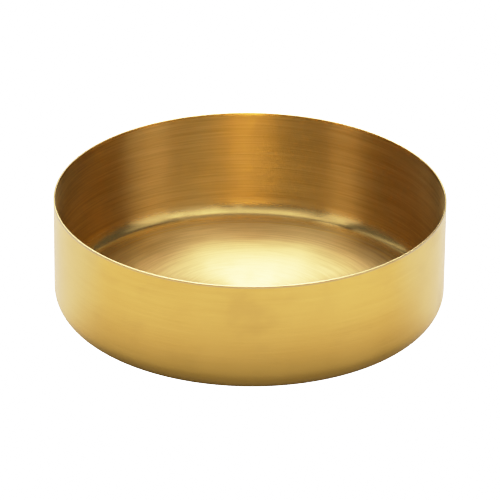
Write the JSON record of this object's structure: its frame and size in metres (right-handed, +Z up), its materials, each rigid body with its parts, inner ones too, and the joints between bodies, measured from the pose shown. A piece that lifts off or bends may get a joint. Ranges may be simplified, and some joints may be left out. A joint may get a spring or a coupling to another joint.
{
  "type": "round dish",
  "caption": "Shallow round brushed-brass dish with a flat floor, a rounded corner, an upright wall and a thin rim, for holding soldering tip cleaner or small parts on a bench.",
  "frame": {"origin": "centre of the flat underside, on the surface that the dish stands on", "axes": "+Z up along the dish's axis and out of its open mouth; +X and +Y are alike, because the dish is round"},
  "size_m": [0.12, 0.12, 0.036],
  "materials": {
    "brushed_brass": "brushed round the axis, satin"
  },
  "bodies": {
    "root": {"dish": "brushed_brass"}
  },
  "joints": []
}
